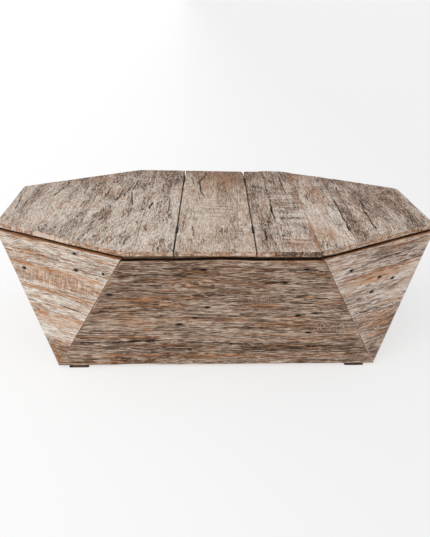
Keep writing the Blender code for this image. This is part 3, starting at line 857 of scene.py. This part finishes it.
def wood(name, colours, checks=1.0, flecks=1.0, warmth=0.5, gap=(0.05, 0.16), saw=(270.0, 75.0), top=False, stored=True):
    """Weathered wood. colours: shadow, dark, middle, light, pale, warm, rust. stored: the mesh holds its marks."""
    shade, dark, middle, light, pale, warm, rust = (linear(*colour) for colour in colours)
    along = 2.3 if top else 1.0
    s = Shader(name)
    grain = s.vector("grain") if stored else s.add("ShaderNodeTexCoord", {}).outputs["Object"]
    lines = rippled(s, grain, 0.0030 if top else 0.0026)
    bands = s.noise(lines, (1.6, 30.0, 30.0), 3.0, 0.55)
    fibre = s.noise(lines, (11.0 * along, 240.0, 240.0), 4.0, 0.78)
    hairs = s.noise(lines, (34.0 * along, 430.0, 430.0), 3.0, 0.6, 3.0)
    blotch = s.noise(grain, (4.0, 11.0, 11.0), 4.0, 0.6, 7.0)
    speck = s.noise(lines, (48.0 * along, 260.0, 260.0), 3.0, 0.7, 11.0)
    where = s.noise(grain, (6.0, 22.0, 22.0), 3.0, 0.6, 23.0)

    if stored:
        where = s.math("ADD", where, s.math("MULTIPLY", s.value("shade"), 0.07))

    # Grey and brown of the fibre
    weights = (1.10, 1.10, 0.20, 0.30) if top else (1.55, 1.50, 0.24, 0.30)
    level = s.blend(*((part, 0.5, weight) for part, weight in zip((fibre, hairs, bands, blotch), weights)))
    if stored:
        level = s.math("ADD", level, s.math("MULTIPLY", s.value("tone"), 0.050))
        # The shade marks darken the fibre: darker patches of the wood, and painted shade at the back of the top
        level = s.math("SUBTRACT", level, s.math("MULTIPLY", s.value("shade"), 0.13))
    colour = s.ramp(level, [(0.28, dark), (0.44, middle), (0.57, light), (0.73, pale)])
    tint = s.step(s.noise(lines, (6.0 * along, 95.0, 95.0), 4.0, 0.68, 17.0), 0.50, 0.60, warmth)
    colour = s.mix(tint, colour, s.mix(s.step(level, 0.36, 0.62), rust, warm))
    colour = s.mix(s.step(speck, 0.58, 0.68, 0.60 * flecks), colour, pale)
    dashed = s.math("MULTIPLY", s.step(speck, 0.44, 0.36), s.step(where, 0.42, 0.60, 0.95 * flecks))
    colour = s.mix(dashed, colour, s.mix(0.35, dark, shade))

    # Fine checks and pale raised fibres between them
    checked = s.ridge(s.noise(lines, (6.5 * along, 115.0, 115.0), 2.0, 0.6, 29.0), 0.030, 0.010)
    checked = s.math("MULTIPLY", checked, s.step(where, 0.46, 0.58, checks))
    raised = s.ridge(s.noise(lines, (8.0 * along, 150.0, 150.0), 2.0, 0.6, 31.0), 0.034, 0.010)
    raised = s.math("MULTIPLY", raised, s.step(where, 0.58, 0.44, 0.80))
    colour = s.mix(raised, colour, pale)
    colour = s.mix(s.math("MULTIPLY", checked, 0.88), colour, shade)
    height = s.blend((fibre, 0.5, 1.0), (hairs, 0.5, 0.7), (bands, 0.5, 0.2), (speck, 0.5, 0.5 * flecks))
    height = s.math("SUBTRACT", height, s.math("MULTIPLY", checked, 0.50))
    height = s.math("ADD", height, s.math("MULTIPLY", raised, 0.10))

    if stored:
        kerf = s.noise(grain, (saw[0], saw[1], saw[1]), 1.0, 0.6, 37.0)
        sawn = s.math("MULTIPLY", s.step(kerf, 0.55, 0.42), s.step(speck, 0.36, 0.52, 0.95))
        sawn = s.math("MULTIPLY", sawn, s.value("saw"))
        colour = s.mix(s.math("MULTIPLY", sawn, 0.75), colour, s.mix(0.50, rust, dark))
        lit = s.math("MULTIPLY", s.step(kerf, 0.52, 0.62, 0.45), s.value("saw"))
        colour = s.mix(lit, colour, pale)
        height = s.math("SUBTRACT", height, s.math("MULTIPLY", sawn, 0.30))
        warm_patch = s.math("MULTIPLY", s.value("patch"), s.step(level, 0.25, 0.50, 0.75))
        colour = s.mix(warm_patch, colour, s.mix(s.step(level, 0.34, 0.60), rust, warm))
        broken = s.step(s.blend((fibre, 0.5, 1.0), (where, 0.5, 0.8)), 0.34, 0.54, 0.9)
        colour = s.mix(s.math("MULTIPLY", s.value("streak"), broken), colour, s.mix(s.step(hairs, 0.36, 0.54), rust, SAP))
        worn = s.math("MULTIPLY", s.value("edge"), s.step(s.blend((speck, 0.5, 1.0), (blotch, 0.5, 0.8)), 0.38, 0.60, 0.80))
        colour = s.mix(worn, colour, s.mix(0.55, pale, warm))
        end_grain = s.noise(grain, (30.0, 70.0, 220.0), 5.0, 0.70, 41.0)
        end_colour = s.ramp(end_grain, [(0.40, rust), (0.48, warm), (0.57, light), (0.67, pale)])
        colour = s.mix(s.math("MULTIPLY", s.value("side"), 0.85), colour, end_colour)
        end_checks = s.step(s.noise(grain, (20.0, 170.0, 35.0), 2.0, 0.6, 53.0), 0.42, 0.33, 0.8)
        colour = s.mix(s.math("MULTIPLY", end_checks, s.value("side")), colour, shade)
        bored = s.noise(grain, (50.0, 70.0, 60.0), 4.0, 0.7, 43.0)
        bored = s.math("MULTIPLY", s.step(bored, 0.38, 0.52, 0.85), s.value("worm"))
        colour = s.mix(bored, colour, s.mix(s.step(speck, 0.44, 0.56), SPLIT_DARK, dark))
        colour = s.mix(s.step(s.value("raw"), 0.25, 0.75, 0.92), colour, s.mix(s.step(fibre, 0.30, 0.48), warm, RAW_WOOD))
        colour = s.mix(s.math("MULTIPLY", s.value("split"), 0.95), colour, SPLIT_DARK)
        # The top of a wall under the lids: stained rust-brown, and deeper in, painted shade: a near-black band where
        # the lids shade it, setting in over the depths given by gap and fading out at the inner edge
        under_lid = s.value("gap")
        reach = s.blend((under_lid, 0.5, 1.0), (blotch, 0.5, 0.9))
        stained = s.math("MULTIPLY", s.step(under_lid, 0.00, 0.06, 0.9), s.step(under_lid, 1.00, 0.80))
        colour = s.mix(stained, colour, s.mix(s.step(fibre, 0.4, 0.6), GAP_RUST, warm))
        painted_gap_shade = s.math("MULTIPLY", s.step(reach, gap[0], gap[1]), s.step(under_lid, 0.0, 0.04))
        painted_gap_shade = s.math("MULTIPLY", painted_gap_shade, s.step(under_lid, 1.00, 0.72))
        colour = s.mix(painted_gap_shade, colour, s.mix(s.step(fibre, 0.50, 0.68), GAP_PAINTED_SHADE, dark))
    s.feed(s.surface.inputs["Base Color"], colour)
    s.feed(s.surface.inputs["Roughness"], s.ramp(level, [(0.3, (0.95,) * 4), (0.7, (0.76,) * 4)]))
    s.surface.inputs["Specular IOR Level"].default_value = 0.25
    s.feed(s.surface.inputs["Normal"], s.bump(height, 0.0045))
    return s.material


def steel(name, colour, rust):
    s = Shader(name)
    place = s.add("ShaderNodeTexCoord", {}).outputs["Object"]
    blotch = s.noise(place, (260.0,) * 3, 4.0, 0.6)
    grit = s.noise(place, (1500.0,) * 3, 3.0, 0.6)
    amount = s.step(s.math("ADD", blotch, s.math("MULTIPLY", grit, 0.2)), 0.52, 0.72)
    s.feed(s.surface.inputs["Base Color"], s.mix(amount, linear(*colour), linear(*rust)))
    s.feed(s.surface.inputs["Metallic"], s.step(amount, 1.0, 0.0))
    s.feed(s.surface.inputs["Roughness"], s.ramp(amount, [(0.0, (0.50,) * 4), (1.0, (0.88,) * 4)]))
    s.feed(s.surface.inputs["Normal"], s.bump(grit, 0.0002))
    return s.material


LID_COLOURS = ((30, 22, 18), (114, 91, 76), (184, 161, 144), (213, 195, 180), (243, 234, 224), (202, 151, 110),
               (144, 96, 64))
PLANK_COLOURS = ((46, 35, 28), (132, 106, 86), (188, 165, 146), (212, 193, 176), (240, 228, 216), (198, 148, 106),
                 (146, 98, 64))
FRONT_COLOURS = ((30, 22, 17), (88, 66, 50), (140, 112, 92), (170, 142, 121), (218, 199, 181), (176, 118, 68),
                 (114, 68, 32))
# The left corner's colours are paler and the right's darker: partly the boards' own tone, partly painted light falling
# from the left
LEFT_COLOURS = ((66, 48, 38), (148, 116, 92), (200, 176, 156), (219, 202, 186), (242, 234, 224), (208, 152, 102),
                (166, 106, 62))
RIGHT_COLOURS = ((48, 38, 31), (118, 96, 81), (174, 150, 134), (204, 182, 166), (232, 219, 208), (204, 150, 106),
                 (150, 96, 60))
INNER_COLOURS = ((60, 42, 30), (124, 96, 74), (166, 136, 110), (188, 160, 132), (208, 184, 158), (190, 144, 100),
                 (150, 104, 68))
FOOT_COLOURS = ((10, 8, 6), (34, 25, 19), (58, 42, 32), (84, 62, 47), (118, 90, 70), (110, 72, 46), (76, 48, 32))
lid_wood = wood("lid_wood", LID_COLOURS, 1.0, 0.9, 0.45, saw=(70.0, 12.0), top=True)
plank_wood = wood("plank_wood", PLANK_COLOURS, 0.7, 0.6, 0.40, saw=(80.0, 14.0), top=True)
wall_wood = wood("wall_wood", FRONT_COLOURS, 0.9, 0.6, 0.66)
left_corner_wood = wood("left_corner_wood", LEFT_COLOURS, 0.5, 0.9, 0.70, (0.50, 0.64), (240.0, 30.0))
right_corner_wood = wood("right_corner_wood", RIGHT_COLOURS, 0.6, 0.8, 0.55, (0.30, 0.46), (240.0, 40.0))
inner_wood = wood("inner_wood", INNER_COLOURS, 0.5, 0.6, 0.40, stored=False)
foot_wood = wood("foot_wood", FOOT_COLOURS, 0.5, 0.5, 0.4, stored=False)
hinge_steel = steel("hinge_steel", (38, 34, 31), (46, 31, 23))
nail_iron = steel("nail_iron", (22, 20, 19), (26, 19, 16))


# Pieces

joints = {joint["child"]: joint for joint in frame["joints"]}
seam = {side: Vector(joints[f"{side}_lid"]["axis"]) for side in LID_SIDES}


def outward_of(node):
    """The outward direction of a wall board: its largest face that looks away from the middle of the chest."""
    shape = bmesh.new()
    shape.from_mesh(frame["nodes"][node].data)
    bmesh.ops.remove_doubles(shape, verts=shape.verts, dist=WELD)
    bmesh.ops.dissolve_limit(shape, angle_limit=math.radians(1), verts=shape.verts, edges=shape.edges)
    shape.normal_update()
    looking_out = [f for f in shape.faces if f.normal.dot(f.calc_center_median() * Vector((1, 1, 0))) > 0]
    found = max(looking_out, key=lambda face: face.calc_area()).normal.copy()
    shape.free()
    return found


def wall_material(node):
    if "corner" not in node:
        return wall_wood
    return left_corner_wood if node.startswith("left") else right_corner_wood


def build_boards():
    """All worn boards; gives the Board of each wall node."""
    walls = {}
    for seed, node in enumerate(sorted(TOP_NODES + WALL_NODES)):
        body = frame["nodes"][node]["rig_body"]
        if node == "middle_plank":
            build_board(node, UP, seam["left"], "top", body, plank_wood, FINE, seed)
        elif node in TOP_NODES:
            side = node.split("_")[0]
            grain = seam[side] if side == "left" else -seam[side]
            build_board(node, UP, grain, "top", body, lid_wood, FINE, seed)
        else:
            outward = outward_of(node)
            steps = FINE if "front" in node else COARSE
            grain = UP.cross(outward)
            walls[node] = build_board(node, outward, grain, "wall", body, wall_material(node), steps, seed)
    return walls


def dress_nodes():
    for node, obj in frame["nodes"].items():
        material = None
        if "hinge" in node:
            material = hinge_steel
        elif "foot" in node:
            material = foot_wood
        elif "rail" in node or "batten" in node or node == "floor_panel":
            material = inner_wood
        if material:
            obj.data.materials.clear()
            obj.data.materials.append(material)


# Nails and screws: each a low domed head with a slightly uneven rim

HEAD_RINGS = ((1.00, -0.55), (1.00, 0.00), (0.86, 0.16), (0.55, 0.26), (0.22, 0.30))  # radius, height in radii
HEAD_SIDES = 14


def add_heads(name, heads, body, radius, proud):
    """One piece of several heads: heads are (place, outward); the rim stands proud of the place by a length."""
    shape = bmesh.new()
    for number, (place, outward) in enumerate(heads):
        turn = Vector(outward).to_track_quat("Z", "Y")
        rings = []
        for share, height in HEAD_RINGS:
            ring = []
            for k in range(HEAD_SIDES):
                angle = math.tau * k / HEAD_SIDES
                uneven = 1.0 + 0.07 * lattice(np.array([[k, number, 1]]), 9)[0]
                reach = radius * share * uneven
                spot = Vector((reach * math.cos(angle), reach * math.sin(angle), height * radius + proud))
                ring.append(shape.verts.new(Vector(place) + turn @ spot))
            rings.append(ring)
        for lower, upper in zip(rings, rings[1:]):
            for k in range(HEAD_SIDES):
                after = (k + 1) % HEAD_SIDES
                shape.faces.new((lower[k], lower[after], upper[after], upper[k]))
        shape.faces.new(rings[-1])
        shape.faces.new(rings[0][::-1])
    mesh = bpy.data.meshes.new(name)
    shape.to_mesh(mesh)
    shape.free()
    mesh.shade_smooth()
    mesh.set_sharp_from_angle(angle=math.radians(40))
    mesh.materials.append(nail_iron)
    piece = bpy.data.objects.new(name, mesh)
    bpy.context.scene.collection.objects.link(piece)
    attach(piece, body)


def on_wall(board, x, z):
    """The point of a wall's outer plane at x and z."""
    y = (board.n @ board.origin - board.n[0] * x - board.n[2] * z) / board.n[1]
    return (x, y, z)


NAIL_INSET = 0.032  # from a board's end
NAIL_DEPTH = 0.0022  # how far a head is sunk


def nail_walls(walls):
    """The nails that show at the front, and a pair at each end of the other walls' boards."""
    for face in ("front", "left_front_corner", "right_front_corner"):
        board = walls[face + "_board_1"]
        heads = [(on_wall(board, x, z), board.n) for x, z in MARKS[face]["nails"]]
        add_heads(face + "_nails", heads, "chest", NAIL_RADIUS, -NAIL_DEPTH)
    others = {}
    for node, board in walls.items():
        if "front" in node:
            continue
        heads = others.setdefault(node.split("_board_")[0], [])
        v = (board.v_low[0] + board.v_high[0]) / 2
        low, high = board.ends(np.array([v]), np.array([0.0]))
        for u in (low[0] + NAIL_INSET, high[0] - NAIL_INSET):
            heads.append((board.to_world(np.array([u, v, 0.0])), board.n))
    for face, heads in others.items():
        add_heads(face + "_nails", heads, "chest", NAIL_RADIUS, -NAIL_DEPTH)


SCREW_RADIUS = 0.0036
SCREWS_ON_BATTEN = 4


def screw_battens():
    """A row of screws under each batten."""
    for side in LID_SIDES:
        for end in ("front", "back"):
            node = f"{side}_lid_{end}_batten"
            low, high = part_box(node)
            heads = []
            for k in range(SCREWS_ON_BATTEN):
                x = low[0] + (high[0] - low[0]) * (k + 0.5) / SCREWS_ON_BATTEN
                heads.append(((x, (low[1] + high[1]) / 2, low[2]), (0.0, 0.0, -1.0)))
            add_heads(f"{side}_lid_{end}_screws", heads, f"{side}_lid", SCREW_RADIUS, 0.0008)


# Camera, light and floor

CAMERA_PLACE = Vector((-0.102, -1.787, 1.015))
CAMERA_PITCH = math.radians(24.98)
CAMERA_YAW = math.radians(3.30)
CAMERA_ROLL = math.radians(1.37)
LENS = 40.18


def add_camera():
    forward = Vector((math.sin(CAMERA_YAW) * math.cos(CAMERA_PITCH), math.cos(CAMERA_YAW) * math.cos(CAMERA_PITCH),
                      -math.sin(CAMERA_PITCH)))
    level = Vector((math.cos(CAMERA_YAW), -math.sin(CAMERA_YAW), 0.0))
    upright = level.cross(forward)
    right = level * math.cos(CAMERA_ROLL) + upright * math.sin(CAMERA_ROLL)
    up = upright * math.cos(CAMERA_ROLL) - level * math.sin(CAMERA_ROLL)
    camera = bpy.data.objects.new("camera", bpy.data.cameras.new("camera"))
    camera.data.lens = LENS
    camera.data.sensor_width = 36.0
    camera.matrix_world = Matrix.Translation(CAMERA_PLACE) @ Matrix((right, up, -forward)).transposed().to_4x4()
    bpy.context.scene.collection.objects.link(camera)
    bpy.context.scene.camera = camera


def add_sun(name, toward, strength, angle):
    light = bpy.data.lights.new(name, "SUN")
    light.energy = strength
    light.angle = math.radians(angle)
    obj = bpy.data.objects.new(name, light)
    obj.rotation_euler = Vector(toward).to_track_quat("-Z", "Y").to_euler()
    bpy.context.scene.collection.objects.link(obj)


HORIZON = (0.90, 0.90, 0.90, 1.0)
ZENITH = (0.52, 0.52, 0.52, 1.0)


def light_studio(tree):
    """Soft light from all round, brighter near the horizon than overhead."""
    direction = tree.nodes.new("ShaderNodeTexCoord").outputs["Generated"]
    split = tree.nodes.new("ShaderNodeSeparateXYZ")
    ramp = tree.nodes.new("ShaderNodeValToRGB")
    for element, colour in zip(ramp.color_ramp.elements, (HORIZON, ZENITH)):
        element.color = colour
    ramp.color_ramp.elements[0].position = 0.10
    ramp.color_ramp.elements[1].position = 0.75
    tree.links.new(direction, split.inputs[0])
    tree.links.new(split.outputs[2], ramp.inputs[0])
    tree.links.new(ramp.outputs[0], tree.nodes["Background"].inputs["Color"])


FLOOR_GLOW = 0.65  # a little light of the floor's own keeps the studio shadow weak
# Painted light: the floor's colour is paler on the left and darker on the right, a painted falloff of the light across
# it
FLOOR_LEFT = (0.360, 0.360, 0.360, 1.0)
FLOOR_RIGHT = (0.220, 0.220, 0.220, 1.0)


def add_stage():
    """A pale floor under soft light; its colour is slightly brighter on the left, as painted light."""
    s = Shader("pale_floor")
    place = s.add("ShaderNodeTexCoord", {}).outputs["Object"]
    x = s.add("ShaderNodeSeparateXYZ", {0: place}).outputs[0]
    soft = s.noise(place, (0.8, 0.8, 0.8), 2.0)
    across = s.math("DIVIDE", x, s.math("ADD", s.math("ABSOLUTE", x), 1.2))
    across = s.blend((across, 0.0, 0.75), (soft, 0.5, 0.05))
    s.feed(s.surface.inputs["Base Color"], s.ramp(across, [(0.1, FLOOR_LEFT), (0.9, FLOOR_RIGHT)]))
    s.surface.inputs["Emission Color"].default_value = (1.0, 1.0, 1.0, 1.0)
    s.surface.inputs["Emission Strength"].default_value = FLOOR_GLOW
    s.surface.inputs["Roughness"].default_value = 0.9
    s.surface.inputs["Specular IOR Level"].default_value = 0.1
    shape = bmesh.new()
    bmesh.ops.create_grid(shape, x_segments=8, y_segments=8, size=150.0)
    mesh = bpy.data.meshes.new("floor")
    shape.to_mesh(mesh)
    shape.free()
    mesh.materials.append(s.material)
    floor = bpy.data.objects.new("floor", mesh)
    floor.location.z = -0.0005
    bpy.context.scene.collection.objects.link(floor)
    world = bpy.data.worlds.new("studio")
    world.use_nodes = True
    light_studio(world.node_tree)
    bpy.context.scene.world = world
    bpy.context.scene.view_settings.view_transform = "Standard"
    add_sun("key_light", (0.55, 0.55, -1.0), 1.30, 50)
    add_sun("fill_light", (-0.7, 0.35, -0.6), 0.25, 90)


add_camera()
add_stage()
walls = build_boards()
nail_walls(walls)
screw_battens()
dress_nodes()
